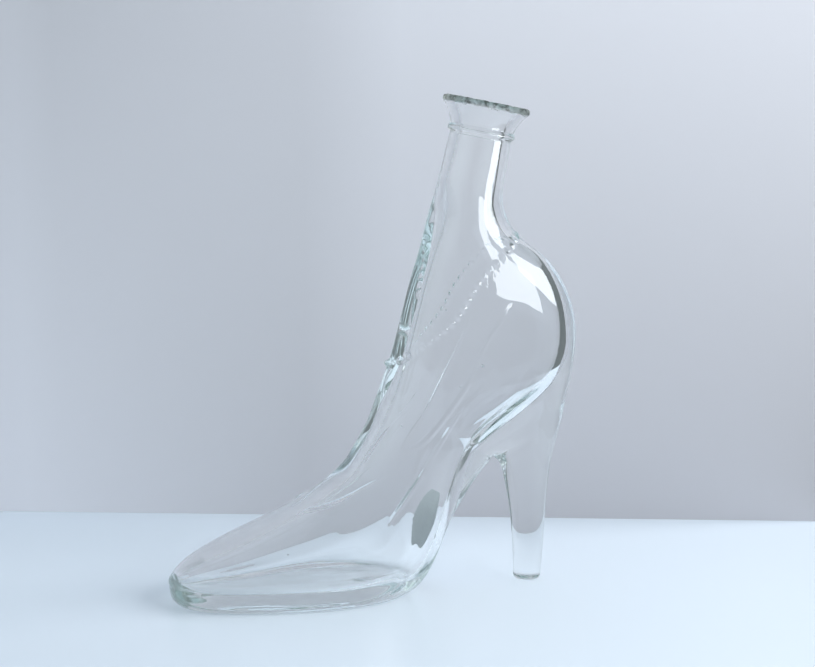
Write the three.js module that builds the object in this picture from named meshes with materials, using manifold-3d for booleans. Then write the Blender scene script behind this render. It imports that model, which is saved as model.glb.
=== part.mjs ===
// A clear glass bottle in the shape of a high-heeled pump, standing on its sole and its heel tip.
// Millimetres, +Z up, toe towards -X, heel towards +X, the floor at Z = 0.
// Everything is laid out about the heel's axis at x = 0, and the finished shoe is then centred.
// The glass is one piece in real life: its named regions here meet across a narrow fused joint.

import * as THREE from "three";
import { mergeVertices } from "three/addons/utils/BufferGeometryUtils.js";
import Module from "manifold-3d";

const wasm = await Module();
wasm.setup();

// Shoe: how far the toe, the ball and the instep reach ahead of the heel's axis and the back behind it,
// heights of the toe's foremost point and of the vamp over the ball, widths, and how far the round underside
// would hang below the floor before the sole is cut flat
const TOE_REACH = 169.5;
const BALL_REACH = 95;
const INSTEP_REACH = 69;
const BACK_REACH = 21.7;
const TOE_TIP_HEIGHT = 6;
const VAMP_HEIGHT = 47.2;
const BALL_WIDTH = 64;
const SHANK_WIDTH = 38;
const ANKLE_WIDTH = 35;
const SOLE_SINK = 2.5;

// Glass thickness, region by region
const TOE_WALL = 7.5;
const VAMP_WALL = 6.5;
const INSTEP_WALL = 7.5;
const SIDE_WALL = 4.6;
const SOLE_THICKNESS = 8;
const SHANK_WALL = 5;
const SEAT_WALL = 15;
const BACK_WALL = 5.2;
const NECK_WALL = 4.1;

// Neck: a slightly conical tube that leans back over the heel
const NECK_LEAN = 11.5;
const NECK_TOP_REACH = 24.2;
const NECK_TOP_HEIGHT = 208.2;
const NECK_LENGTH = 24;
const NECK_DIAMETER = 28.1;
const NECK_FOOT_DIAMETER = 30.2;

// Finish on top of the neck: a moulded ring and a flared lip with a cut edge
const RING_HEIGHT = 3.6;
const RING_PROUD = 1.4;
const LIP_HEIGHT = 12;
const LIP_DIAMETER = 40.3;
const LIP_FOOT_PROUD = 0.8;
const RIM_HEIGHT = 3.3;
const RIM_WALL = 3.2;

// Heel: a round tapered stem, solid up to the seat
const HEEL_HEIGHT = 52;
const HEEL_TIP_DIAMETER = 13;
const HEEL_FOOT_DIAMETER = 10.4;
const HEEL_TOP_DIAMETER = 22;
const HEEL_BREAST = 18;

// Hollow under the forefoot: its depth, the rim that the sole stands on at the toe and beside the ball,
// and how far the hollow runs back from the ball
const RECESS_DEPTH = 1;
const RECESS_TOE_RIM = 16.5;
const RECESS_SIDE_RIM = 10;
const RECESS_BACK = 21;

// Row of moulded beads round the topline, with a larger knob low on the front: how far its ends lie below
// the top of the neck, how much it bows and sags at the sides, and its beads
const TRIM_FRONT_DROP = 101.2;
const TRIM_BACK_DROP = 44.7;
const TRIM_BOW = 2.5;
const TRIM_SAG = 2;
const BEAD_DIAMETER = 2.7;
const BEAD_PITCH = 4.2;
const BEAD_LIFT = 0.35;
const BEAD_THREAD_DIAMETER = 1.7;
const KNOB_DIAMETER = 5;

// Oval paper label on one flank of the shank: its size, the height of the underside beside its middle,
// how far round from the underside it sits, in degrees, and the radius of that round
const LABEL_LENGTH = 28;
const LABEL_WIDTH = 14;
const LABEL_THICKNESS = 0.25;
const LABEL_HEIGHT = 28;
const LABEL_TURN = 50;
const LABEL_ROUND = 13;

// Joint between neighbouring regions of the glass, and under the label and the beads
const FUSED_GAP = 0.3;

// Fineness of the round and lofted shapes
const LOFT_COLUMNS = 28;
const RINGS_PER_STATION = 2;
const LATHE_SIDES = 32;
const HEEL_SIDES = 24;
const BEAD_SIDES = 6;
const KNOB_SIDES = 12;
const LABEL_SIDES = 20;
const TRIM_STEPS = 64;

// Larger than the whole shoe, for cutting with half spaces; how far the topline cut runs ahead of the knob
const BEYOND = 600;
const TRIM_MARGIN = 15;

// Axis of the neck, and the direction across it towards the back, in the plane of symmetry
const lean = THREE.MathUtils.degToRad(NECK_LEAN);
const neckAxis = new THREE.Vector2(Math.sin(lean), Math.cos(lean));
const neckAcross = new THREE.Vector2(Math.cos(lean), -Math.sin(lean));
const neckTop = new THREE.Vector2(-NECK_TOP_REACH, NECK_TOP_HEIGHT);
const neckFoot = neckTop.clone().addScaledVector(neckAxis, -NECK_LENGTH);
const boreRadius = NECK_DIAMETER / 2 - NECK_WALL;

// Slice through the neck, square to its axis, at a depth below its top
function neckStation(depth, diameter) {
  const centre = neckTop.clone().addScaledVector(neckAxis, -depth);
  const radius = diameter / 2;
  const front = centre.clone().addScaledVector(neckAcross, -radius);
  const sole = centre.clone().addScaledVector(neckAcross, radius);
  const walls = [NECK_WALL, NECK_WALL, NECK_WALL];
  return station(front.toArray(), sole.toArray(), radius, [0.5, 2, 2], walls);
}

// A slice through the shoe: where it meets the front line and the sole line, half its width,
// its form (share of its height at which it is widest, squareness below and above that),
// and the glass it has at the front, at the sole and at the sides
function station(front, sole, half, form, walls) {
  return {
    front: new THREE.Vector2(...front),
    sole: new THREE.Vector2(...sole),
    half,
    form: new THREE.Vector3(...form),
    walls: { front: walls[0], sole: walls[1], side: walls[2] },
  };
}

// Places that follow the driving sizes: along the forefoot from the ball (0) to the toe (1), along the arch
// from the heel's axis (0) to the ball (1), on the leg's front and back lines, up the heel from the floor (0)
// to its top (1), and up the leg from there (0) to the foot of the neck (1)
const fore = (share) => -BALL_REACH - share * (TOE_REACH - BALL_REACH);
const arch = (share) => -BALL_REACH * share;
const shin = (share) => -INSTEP_REACH * share;
const back = (share) => BACK_REACH * share;
const rise = (share) => share * HEEL_HEIGHT;
const up = (share) => HEEL_HEIGHT + share * (neckFoot.y - HEEL_HEIGHT);

const ball = BALL_WIDTH / 2;
const shank = SHANK_WIDTH / 2;
const ankle = ANKLE_WIDTH / 2;
const foreWalls = [VAMP_WALL, SOLE_THICKNESS, SIDE_WALL];
const shankWalls = [INSTEP_WALL, SHANK_WALL, SIDE_WALL];
const seatWalls = [INSTEP_WALL, SEAT_WALL, SIDE_WALL];
const backWalls = [INSTEP_WALL, BACK_WALL, SIDE_WALL];

const lowSeatWalls = [INSTEP_WALL, 0.6 * SEAT_WALL, SIDE_WALL];
const highSeatWalls = [INSTEP_WALL, 0.5 * SEAT_WALL, SIDE_WALL];

// Two slices that only round off the toe, ahead of where the cavity begins
const vamp = VAMP_HEIGHT;
const tipSole = 0.3 * TOE_TIP_HEIGHT;
const toeStations = [
  station([fore(0.984), 0.267 * vamp], [fore(0.981), tipSole], 0.3 * ball, [0.45, 2.2, 2], foreWalls),
  station([fore(0.92), 0.377 * vamp], [fore(0.92), -0.4 * SOLE_SINK], 0.52 * ball, [0.4, 2.8, 2], foreWalls),
];

// The slices turn from upright at the toe to level at the ankle
const bodyStations = [
  station([fore(0.765), 0.53 * vamp], [fore(0.765), -SOLE_SINK], 0.73 * ball, [0.33, 3.6, 2], foreWalls),
  station([fore(0.55), 0.69 * vamp], [fore(0.537), -SOLE_SINK], 0.88 * ball, [0.26, 4, 1.95], foreWalls),
  station([fore(0.309), 0.854 * vamp], [fore(0.255), -SOLE_SINK], 0.985 * ball, [0.22, 4.2, 1.9], foreWalls),
  station([fore(0.134), vamp], [arch(0.968), -SOLE_SINK], ball, [0.22, 4, 1.9], foreWalls),
  station([arch(1.005), 1.14 * vamp], [arch(0.768), -SOLE_SINK], 0.89 * ball, [0.27, 3.4, 1.95], foreWalls),
  station([arch(0.926), up(0.068)], [arch(0.605), 0], 0.7 * ball, [0.37, 2.6, 2], shankWalls),
  station([arch(0.868), up(0.132)], [arch(0.49), rise(0.24)], 1.06 * shank, [0.43, 2.3, 2], shankWalls),
  station([arch(0.81), up(0.207)], [arch(0.408), rise(0.577)], shank, [0.46, 2.1, 2], shankWalls),
  station([arch(0.768), up(0.286)], [arch(0.295), rise(0.904)], shank, [0.48, 2, 2], lowSeatWalls),
  station([shin(1), up(0.369)], [arch(0.126), up(0.068)], ankle, [0.5, 2.4, 2], seatWalls),
  station([shin(0.949), up(0.448)], [back(0.392), up(0.185)], ankle, [0.5, 2.7, 2], seatWalls),
  station([shin(0.906), up(0.531)], [back(0.885), up(0.324)], ankle, [0.5, 2.8, 2], highSeatWalls),
  station([shin(0.862), up(0.618)], [back(1), up(0.475)], 0.98 * ankle, [0.5, 2.8, 2], backWalls),
  station([shin(0.819), up(0.701)], [back(0.848), up(0.618)], 0.95 * ankle, [0.5, 2.6, 2], backWalls),
  station([shin(0.775), up(0.7725)], [back(0.382), up(0.746)], 0.91 * ankle, [0.5, 2.3, 2], backWalls),
  station([shin(0.739), up(0.837)], [back(-0.253), up(0.829)], 0.88 * ankle, [0.5, 2, 2], backWalls),
  station([shin(0.703), up(0.908)], [back(-0.562), up(0.908)], 0.87 * ankle, [0.5, 2, 2], backWalls),
];

const outerTip = new THREE.Vector2(-TOE_REACH, TOE_TIP_HEIGHT);
const outerStations = [
  ...toeStations,
  ...bodyStations,
  neckStation(NECK_LENGTH, NECK_FOOT_DIAMETER),
  neckStation(0, NECK_DIAMETER),
];

// Place along the outer skin of the slice through the ball, behind which the skin only climbs
const ballPlace = toeStations.length + 4;

// The same slice moved outwards by a distance
function grown(slice, distance) {
  const outward = slice.front.clone().sub(slice.sole).normalize();
  return {
    ...slice,
    front: slice.front.clone().addScaledVector(outward, distance),
    sole: slice.sole.clone().addScaledVector(outward, -distance),
    half: slice.half + distance,
  };
}

// The slice of the hollow inside a slice of the glass
function hollowed(slice) {
  const inward = slice.sole.clone().sub(slice.front).normalize();
  return {
    ...slice,
    front: slice.front.clone().addScaledVector(inward, slice.walls.front),
    sole: slice.sole.clone().addScaledVector(inward, -slice.walls.sole),
    half: slice.half - slice.walls.side,
  };
}

// Smooth body through a toe tip and a row of slices. Its outline runs from the last slice's sole,
// round the tip, to the last slice's front, so that the toe comes out round.
class Loft {
  constructor(tip, slices) {
    const front = slices.map((s) => new THREE.Vector3(s.front.x, s.half, s.front.y));
    const sole = slices.map((s) => new THREE.Vector3(s.sole.x, -s.half, s.sole.y));
    const point = new THREE.Vector3(tip.x, 0, tip.y);
    this.count = slices.length;
    this.outline = new THREE.CatmullRomCurve3([...sole.reverse(), point, ...front]);
    this.forms = new THREE.CatmullRomCurve3([slices[0].form, ...slices.map((s) => s.form)]);
  }

  // The slice at a place along the loft: 0 at the tip, 1 at the first slice, and so on
  slice(place) {
    const front = this.outline.getPoint(0.5 + (0.5 * place) / this.count);
    const sole = this.outline.getPoint(0.5 - (0.5 * place) / this.count);
    return {
      front: new THREE.Vector2(front.x, front.z),
      sole: new THREE.Vector2(sole.x, sole.z),
      half: (front.y - sole.y) / 2,
      form: this.forms.getPoint(place / this.count),
    };
  }

  // A point on a slice's edge: angle 0 at the front line, half a turn at the sole line
  static edgePoint(slice, angle) {
    const [belly, below, above] = slice.form.toArray();
    const along = Math.cos(angle);
    const across = Math.sin(angle);
    const power = 2 / (along < 0 ? below : above);
    const widest = slice.sole.clone().lerp(slice.front, belly);
    const end = along < 0 ? slice.sole : slice.front;
    const spot = widest.lerp(end, Math.abs(along) ** power);
    const side = slice.half * Math.sign(across) * Math.abs(across) ** power;
    return new THREE.Vector3(spot.x, side, spot.y);
  }

  geometry() {
    const rings = this.count * RINGS_PER_STATION;
    const points = [this.outline.getPoint(0.5)];
    for (let ring = 1; ring <= rings; ring++) {
      const slice = this.slice(ring / RINGS_PER_STATION);
      for (let column = 0; column < LOFT_COLUMNS; column++) {
        points.push(Loft.edgePoint(slice, (2 * Math.PI * column) / LOFT_COLUMNS));
      }
    }
    const last = this.slice(this.count);
    const capCentre = last.front.clone().lerp(last.sole, 0.5);
    points.push(new THREE.Vector3(capCentre.x, 0, capCentre.y));
    const at = (ring, column) => 1 + (ring - 1) * LOFT_COLUMNS + (column % LOFT_COLUMNS);
    const faces = [];
    for (let column = 0; column < LOFT_COLUMNS; column++) {
      faces.push(0, at(1, column), at(1, column + 1));
      for (let ring = 1; ring < rings; ring++) {
        faces.push(at(ring, column), at(ring + 1, column), at(ring, column + 1));
        faces.push(at(ring, column + 1), at(ring + 1, column), at(ring + 1, column + 1));
      }
      faces.push(points.length - 1, at(rings, column + 1), at(rings, column));
    }
    return surface(points, faces);
  }
}

// Geometry from points and triangles
function surface(points, faces) {
  const geometry = new THREE.BufferGeometry();
  geometry.setFromPoints(points);
  geometry.setIndex(faces);
  return geometry;
}

// Solid for joining and cutting, from a closed geometry
function solid(geometry) {
  const bare = geometry.clone();
  bare.deleteAttribute("normal");
  bare.deleteAttribute("uv");
  const merged = mergeVertices(bare);
  const vertProperties = new Float32Array(merged.attributes.position.array);
  const triVerts = new Uint32Array(merged.index.array);
  return new wasm.Manifold(new wasm.Mesh({ numProp: 3, vertProperties, triVerts }));
}

function geometryOf(body) {
  const mesh = body.getMesh();
  const geometry = new THREE.BufferGeometry();
  geometry.setAttribute("position", new THREE.BufferAttribute(mesh.vertProperties, 3));
  geometry.setIndex(new THREE.BufferAttribute(mesh.triVerts, 1));
  geometry.computeVertexNormals();
  return geometry;
}

// Everything below a level, ahead of or behind an x
function below(level, ahead, x) {
  const box = new THREE.BoxGeometry(BEYOND, BEYOND, BEYOND);
  box.translate(ahead ? x - BEYOND / 2 : x + BEYOND / 2, 0, level - BEYOND / 2);
  return solid(box);
}

// Topline plane, rising from the front knob to the back of the ankle
const trimFront = new THREE.Vector2(shin(0.957), NECK_TOP_HEIGHT - TRIM_FRONT_DROP);
const trimBack = new THREE.Vector2(back(-0.323), NECK_TOP_HEIGHT - TRIM_BACK_DROP);
const trimRise = trimBack.sub(trimFront);
const trimNormal = new THREE.Vector2(-trimRise.y, trimRise.x).normalize();

// Line across the instep where the vamp ends and the quarters begin
const vampSole = new THREE.Vector2(arch(0.605), 0);
const vampRise = new THREE.Vector2(arch(0.926), up(0.068)).sub(vampSole);

// Everything to the left of a line, seen from -Y, moved that way by a distance. It starts a margin before a
// point of the line and runs on along it.
function leftOf(point, along, margin, distance) {
  const box = new THREE.BoxGeometry(BEYOND, BEYOND, BEYOND);
  box.translate(BEYOND / 2 - margin, 0, BEYOND / 2 + distance);
  box.rotateY(-along.angle());
  box.translate(point.x, 0, point.y);
  return solid(box);
}

// Everything above the topline, and everything ahead of the line across the instep
const aboveTrim = (distance) => leftOf(trimFront, trimRise, TRIM_MARGIN, distance);
const aheadOfInstep = (distance) => leftOf(vampSole, vampRise, BEYOND / 2, distance);

// Heel with its seat: level oval slices, given by how far they reach ahead of and behind the heel's axis
function heelAndSeat() {
  const tip = HEEL_TIP_DIAMETER / 2;
  const foot = HEEL_FOOT_DIAMETER / 2;
  const top = HEEL_TOP_DIAMETER / 2;
  const slices = [
    { z: 0, ahead: foot, behind: foot, half: foot },
    { z: 0.14 * tip, ahead: 0.946 * tip, behind: 0.946 * tip, half: 0.946 * tip },
    { z: 0.37 * tip, ahead: tip, behind: tip, half: tip },
    { z: rise(0.22), ahead: 1.03 * tip, behind: 1.12 * tip, half: 1.06 * tip },
    { z: rise(0.42), ahead: 1.11 * tip, behind: 1.215 * tip, half: 1.154 * tip },
    { z: rise(0.62), ahead: 1.246 * tip, behind: 1.308 * tip, half: 1.26 * tip },
    { z: rise(0.8), ahead: 0.873 * top, behind: 0.818 * top, half: 0.827 * top },
    { z: rise(1), ahead: 1.109 * top, behind: 0.909 * top, half: top },
    { z: up(0.038), ahead: 1.4 * top, behind: 0.964 * top, half: 1.136 * top },
    { z: up(0.083), ahead: 1.727 * top, behind: 1.082 * top, half: 1.273 * top },
    { z: up(0.143), ahead: 2 * top, behind: 1.282 * top, half: 1.382 * top },
    { z: up(0.211), ahead: 2.09 * top, behind: 1.5 * top, half: 1.436 * top },
    { z: up(0.279), ahead: 1.727 * top, behind: 1.636 * top, half: 1.382 * top },
    { z: up(0.347), ahead: 0.909 * top, behind: 1.564 * top, half: 1.09 * top },
    { z: up(0.407), ahead: 0.545 * top, behind: 1.273 * top, half: 0.727 * top },
  ];
  const points = [new THREE.Vector3(0, 0, slices[0].z)];
  for (const { z, ahead, behind, half } of slices) {
    for (let side = 0; side < HEEL_SIDES; side++) {
      const angle = (2 * Math.PI * side) / HEEL_SIDES;
      const x = (behind - ahead) / 2 + ((behind + ahead) / 2) * Math.cos(angle);
      points.push(new THREE.Vector3(x, half * Math.sin(angle), z));
    }
  }
  points.push(new THREE.Vector3(0, 0, slices.at(-1).z));
  const at = (ring, side) => 1 + ring * HEEL_SIDES + (side % HEEL_SIDES);
  const last = slices.length - 1;
  const faces = [];
  for (let side = 0; side < HEEL_SIDES; side++) {
    faces.push(0, at(0, side + 1), at(0, side));
    for (let ring = 0; ring < last; ring++) {
      faces.push(at(ring, side), at(ring, side + 1), at(ring + 1, side));
      faces.push(at(ring, side + 1), at(ring + 1, side + 1), at(ring + 1, side));
    }
    faces.push(points.length - 1, at(last, side), at(last, side + 1));
  }
  return solid(surface(points, faces));
}

// Egg-shaped hollow under the forefoot: a long half oval towards the toe and a short one towards the rear
function soleRecess() {
  const half = ball - RECESS_SIDE_RIM;
  const length = TOE_REACH - RECESS_TOE_RIM - BALL_REACH;
  const quarter = Math.PI / 2;
  const rearOval = new THREE.EllipseCurve(-BALL_REACH, 0, RECESS_BACK, half, -quarter, quarter);
  const foreOval = new THREE.EllipseCurve(-BALL_REACH, 0, length, half, quarter, 3 * quarter);
  const shape = new THREE.Shape([...rearOval.getPoints(12), ...foreOval.getPoints(16).slice(1, -1)]);
  const plug = new THREE.ExtrudeGeometry(shape, { depth: 2 * RECESS_DEPTH, bevelEnabled: false });
  plug.translate(0, 0, -RECESS_DEPTH);
  return solid(plug);
}

// Closed string of beads lying on the topline, with a knob at its front
function beadTrim(outer) {
  const path = toplinePath(BEAD_LIFT);
  const count = Math.round(path.getLength() / BEAD_PITCH);
  const string = solid(beadString(path, count));
  const knob = new THREE.SphereGeometry(KNOB_DIAMETER / 2, KNOB_SIDES, KNOB_SIDES / 2);
  const front = path.getPoint(0);
  knob.translate(front.x, front.y, front.z);
  return string.add(solid(knob)).subtract(outer);
}

// Curve in which the topline plane, bowed down ahead of its middle and up behind it and sagging at the sides,
// meets the glass moved out by a distance
function toplinePath(distance) {
  const loft = outerLoft(distance);
  const height = (point) => (point.x - trimFront.x) * trimNormal.x + (point.z - trimFront.y) * trimNormal.y;
  const spots = [];
  for (let step = 0; step < TRIM_STEPS; step++) {
    const angle = (2 * Math.PI * step) / TRIM_STEPS;
    const round = Math.min(angle, 2 * Math.PI - angle);
    const bow = -TRIM_BOW * Math.sin(2 * round) - TRIM_SAG * Math.sin(round);
    let low = ballPlace;
    let high = loft.count;
    while (high - low > 1e-6) {
      const middle = (low + high) / 2;
      const above = height(Loft.edgePoint(loft.slice(middle), angle)) > bow;
      low = above ? low : middle;
      high = above ? middle : high;
    }
    spots.push(Loft.edgePoint(loft.slice(low), angle));
  }
  return new THREE.CatmullRomCurve3(spots, true);
}

// Tube round a closed path that swells into a bead at every pitch and is a thin thread between them
function beadString(path, count) {
  const girths = [BEAD_DIAMETER, 0.8 * BEAD_DIAMETER, BEAD_THREAD_DIAMETER, 0.8 * BEAD_DIAMETER];
  const steps = count * girths.length;
  const frames = path.computeFrenetFrames(steps, true);
  const points = [];
  const faces = [];
  const at = (step, side) => (step % steps) * BEAD_SIDES + (side % BEAD_SIDES);
  for (let step = 0; step < steps; step++) {
    const centre = path.getPointAt(step / steps);
    const radius = girths[step % girths.length] / 2;
    for (let side = 0; side < BEAD_SIDES; side++) {
      const angle = (2 * Math.PI * side) / BEAD_SIDES;
      const spot = centre.clone().addScaledVector(frames.normals[step], radius * Math.cos(angle));
      points.push(spot.addScaledVector(frames.binormals[step], radius * Math.sin(angle)));
      faces.push(at(step, side), at(step, side + 1), at(step + 1, side));
      faces.push(at(step, side + 1), at(step + 1, side + 1), at(step + 1, side));
    }
  }
  return surface(points, faces);
}

// Label: what an oval punch, square to the flank of the shank, takes out of a thin skin over the glass
function ovalLabel() {
  const loft = outerLoft(0);
  let low = ballPlace;
  let high = low + 6;
  while (high - low > 1e-6) {
    const middle = (low + high) / 2;
    const above = loft.slice(middle).sole.y > LABEL_HEIGHT;
    low = above ? low : middle;
    high = above ? middle : high;
  }
  const centre = loft.slice(low).sole;
  const next = loft.slice(low + 0.05).sole;
  const slope = next.sub(centre).angle();
  const oval = new THREE.Shape().absellipse(0, 0, LABEL_LENGTH / 2, LABEL_WIDTH / 2, 0, 2 * Math.PI);
  const options = { depth: 2 * LABEL_ROUND, bevelEnabled: false, curveSegments: LABEL_SIDES };
  const punch = new THREE.ExtrudeGeometry(oval, options);
  punch.rotateX(Math.PI + THREE.MathUtils.degToRad(LABEL_TURN));
  punch.translate(0, 0, LABEL_ROUND);
  punch.rotateY(-slope);
  punch.translate(centre.x, 0, centre.y);
  const outside = solid(outerLoft(FUSED_GAP + LABEL_THICKNESS).geometry());
  const inside = solid(outerLoft(FUSED_GAP).geometry());
  return solid(punch).intersect(outside).subtract(inside);
}

// Outer surface of the glass, moved out by a distance
function outerLoft(distance) {
  const tip = new THREE.Vector2(outerTip.x - distance, outerTip.y);
  return new Loft(
    tip,
    outerStations.map((slice) => grown(slice, distance)),
  );
}

// Hollow of the bottle, from the toe up through the neck, with a flat floor over the sole
function hollow() {
  const tip = new THREE.Vector2(TOE_WALL - TOE_REACH, SOLE_THICKNESS + 0.3 * TOE_WALL);
  const bore = [neckStation(NECK_LENGTH, NECK_FOOT_DIAMETER), neckStation(-NECK_WALL, NECK_DIAMETER)];
  const slices = [...bodyStations, ...bore].map(hollowed);
  const loft = new Loft(tip, slices);
  return solid(loft.geometry()).subtract(below(SOLE_THICKNESS, true, BEYOND / 2));
}

// Ring moulded round the top of the neck
function neckRing() {
  const outer = NECK_DIAMETER / 2;
  const half = RING_HEIGHT / 2;
  const crown = new THREE.EllipseCurve(outer, half, RING_PROUD, half, -Math.PI / 2, Math.PI / 2);
  const profile = [new THREE.Vector2(boreRadius, 0), ...crown.getPoints(8)];
  profile.push(new THREE.Vector2(boreRadius, RING_HEIGHT), new THREE.Vector2(boreRadius, 0));
  return turned(profile);
}

// Flared lip, thin at its cut rim
function flaredLip() {
  const foot = NECK_DIAMETER / 2 + LIP_FOOT_PROUD;
  const rim = LIP_DIAMETER / 2;
  const underRim = LIP_HEIGHT - RIM_HEIGHT;
  const flare = new THREE.QuadraticBezierCurve(
    new THREE.Vector2(foot, 0),
    new THREE.Vector2(foot, 0.62 * underRim),
    new THREE.Vector2(rim, underRim),
  );
  const throat = new THREE.QuadraticBezierCurve(
    new THREE.Vector2(rim - RIM_WALL, LIP_HEIGHT),
    new THREE.Vector2(boreRadius, 0.75 * LIP_HEIGHT),
    new THREE.Vector2(boreRadius, 0),
  );
  const profile = [...flare.getPoints(7), new THREE.Vector2(rim, LIP_HEIGHT), ...throat.getPoints(7)];
  profile.push(profile[0].clone());
  return turned(profile);
}

// Solid of revolution about the z axis, from a closed profile of radius and height
function turned(profile) {
  const lathe = new THREE.LatheGeometry(profile, LATHE_SIDES);
  lathe.rotateX(Math.PI / 2);
  return lathe;
}

const clearGlass = { color: 0xd3e3df, roughness: 0.04, metalness: 0, transparent: true, opacity: 0.4 };
const cutGlass = { color: 0x8ba094, roughness: 0.5, metalness: 0, transparent: true, opacity: 0.7 };
const greyPaper = { color: 0x929c9f, roughness: 0.7, metalness: 0 };

function piece(name, geometry, finish) {
  const mesh = new THREE.Mesh(geometry, new THREE.MeshStandardMaterial(finish));
  mesh.name = name;
  return mesh;
}

const heelBlock = heelAndSeat();
const outerSkin = solid(outerLoft(0).geometry());
const clearSkin = solid(outerLoft(FUSED_GAP).geometry());
const underFloor = below(0, true, BEYOND / 2);
const glass = outerSkin.add(heelBlock).subtract(underFloor).subtract(hollow());
const shoe = glass.subtract(aboveTrim(-FUSED_GAP / 2));
const soleZone = below(SOLE_THICKNESS, true, -HEEL_BREAST);
const heelZone = below(HEEL_HEIGHT, false, -HEEL_BREAST);
const soleClear = below(SOLE_THICKNESS + FUSED_GAP, true, -HEEL_BREAST);
const heelClear = below(HEEL_HEIGHT + FUSED_GAP, false, -HEEL_BREAST);
const upper = shoe.subtract(soleClear).subtract(heelClear);

const bottle = new THREE.Group();
bottle.add(piece("leg", geometryOf(glass.intersect(aboveTrim(FUSED_GAP / 2))), clearGlass));
bottle.add(piece("vamp", geometryOf(upper.intersect(aheadOfInstep(FUSED_GAP / 2))), clearGlass));
bottle.add(piece("quarters", geometryOf(upper.subtract(aheadOfInstep(-FUSED_GAP / 2))), clearGlass));
bottle.add(piece("sole", geometryOf(shoe.intersect(soleZone).subtract(soleRecess())), clearGlass));
bottle.add(piece("heel", geometryOf(heelBlock.intersect(heelZone)), clearGlass));
bottle.add(piece("bead_trim", geometryOf(beadTrim(clearSkin)), clearGlass));
bottle.add(piece("oval_label", geometryOf(ovalLabel()), greyPaper));

// Ring and lip are stacked along the leaning axis of the neck
const finish = new THREE.Group();
finish.position.set(neckTop.x, 0, neckTop.y);
finish.rotation.y = lean;
const ring = piece("neck_ring", neckRing(), clearGlass);
ring.position.z = FUSED_GAP;
const lip = piece("lip", flaredLip(), cutGlass);
lip.position.z = FUSED_GAP + RING_HEIGHT + FUSED_GAP;
finish.add(ring, lip);
bottle.add(finish);

// Centre the shoe over the origin
const bounds = new THREE.Box3().setFromObject(bottle);
bottle.position.x = -(bounds.min.x + bounds.max.x) / 2;

export default bottle;
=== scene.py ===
"""A clear glass bottle in the shape of a high-heeled pump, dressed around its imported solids.

The glass is one closed skin: it starts at the toe, climbs over the shoe to the lip, turns over the rim and
runs down inside as the wall of the hollow. The heel is drawn out of the seat. Beads, ridges and flow lines
are raised out of the skin, and a paper label is glued to the far flank of the shank. Lengths on the bottle
are millimetres from the heel's axis, as the shoe is measured, and lengths on the stage are metres.
"""

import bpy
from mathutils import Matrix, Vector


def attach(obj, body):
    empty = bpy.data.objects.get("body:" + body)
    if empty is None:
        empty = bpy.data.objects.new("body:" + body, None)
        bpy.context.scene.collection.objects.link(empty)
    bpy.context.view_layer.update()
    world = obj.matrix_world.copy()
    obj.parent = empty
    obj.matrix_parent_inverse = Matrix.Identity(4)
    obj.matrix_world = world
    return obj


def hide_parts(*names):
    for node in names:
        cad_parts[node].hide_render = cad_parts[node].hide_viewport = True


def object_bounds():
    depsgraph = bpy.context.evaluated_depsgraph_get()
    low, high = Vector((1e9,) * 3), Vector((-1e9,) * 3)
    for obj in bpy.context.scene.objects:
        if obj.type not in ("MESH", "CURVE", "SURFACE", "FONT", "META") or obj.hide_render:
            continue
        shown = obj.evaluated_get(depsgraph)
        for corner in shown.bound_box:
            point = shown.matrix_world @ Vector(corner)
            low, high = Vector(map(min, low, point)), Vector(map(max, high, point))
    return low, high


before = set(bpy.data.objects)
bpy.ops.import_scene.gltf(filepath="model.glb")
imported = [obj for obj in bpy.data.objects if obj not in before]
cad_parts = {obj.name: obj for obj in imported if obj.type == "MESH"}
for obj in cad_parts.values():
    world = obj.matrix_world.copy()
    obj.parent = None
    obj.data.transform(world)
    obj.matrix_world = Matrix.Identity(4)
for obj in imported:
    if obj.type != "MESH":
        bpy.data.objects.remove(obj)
CAD_BOX = [list(corner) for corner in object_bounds()]

import math

import bmesh
import bpy
from mathutils import Matrix, Vector, noise
from mathutils.bvhtree import BVHTree
from mathutils.kdtree import KDTree

# Driving sizes of the shoe
MM = 0.001
TOE_REACH = 169.5
SOLE_SINK = 2.5
BASE_THICKNESS = 8
COLUMNS = 48
SOLE_COLUMN = COLUMNS // 2

# The heel's axis, behind the toe tip by the toe's reach, in the frame's metres
HEEL_AXIS = CAD_BOX[0][0] + TOE_REACH * MM

# Neck: where its top is, how far it leans back, and the directions along it and square to it
NECK_TOP = Vector((-24.2, 0, 208.2))
NECK_LEAN = math.radians(11.5)
NECK_AXIS = Vector((math.sin(NECK_LEAN), 0, math.cos(NECK_LEAN)))
NECK_BACK = Vector((math.cos(NECK_LEAN), 0, -math.sin(NECK_LEAN)))

# Glass thickness at the front, at the sole and at the sides, and the greatest squareness of the hollow's back
TOE_WALLS = (5, 8, 4.4, 5)
FORE_WALLS = (6.5, 8, 4.6, 5)
SHANK_WALLS = (7.5, 5, 4.6, 5)
LOW_SEAT_WALLS = (7.5, 9, 4.6, 5)
BREAST_WALLS = (7.5, 11.5, 4.6, 2.2)
SEAT_WALLS = (7.5, 15, 4.6, 1.9)
HIGH_SEAT_WALLS = (7.5, 9, 4.6, 1.6)
BACK_WALLS = (7.5, 7, 4.6, 1.6)
NAPE_WALLS = (7.5, 5.6, 4.6, 1.9)

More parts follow.
